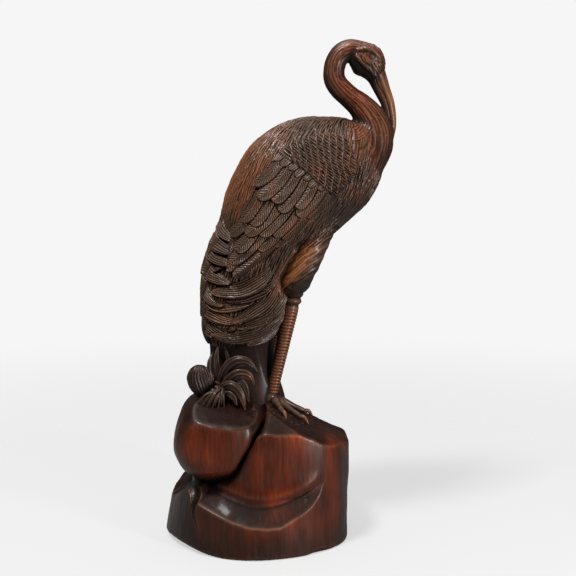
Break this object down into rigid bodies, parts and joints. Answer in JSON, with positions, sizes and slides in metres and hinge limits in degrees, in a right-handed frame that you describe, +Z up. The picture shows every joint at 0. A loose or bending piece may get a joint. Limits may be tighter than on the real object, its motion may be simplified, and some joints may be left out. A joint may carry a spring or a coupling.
{
  "type": "crane carving",
  "caption": "Carved hardwood crane standing on a faceted rock, neck looped back with the bill along its breast; flat underside rests on a surface.",
  "frame": {"origin": "on the flat underside, below the middle of the carving's bounding box", "axes": "+X the way the bird's breast faces, +Y its left flank, +Z up"},
  "size_m": [0.1892, 0.1503, 0.403],
  "materials": {
    "stained_hardwood": "dark red-brown stain under a worn satin lacquer"
  },
  "bodies": {
    "root": {"crane_carving": "stained_hardwood"}
  },
  "joints": []
}
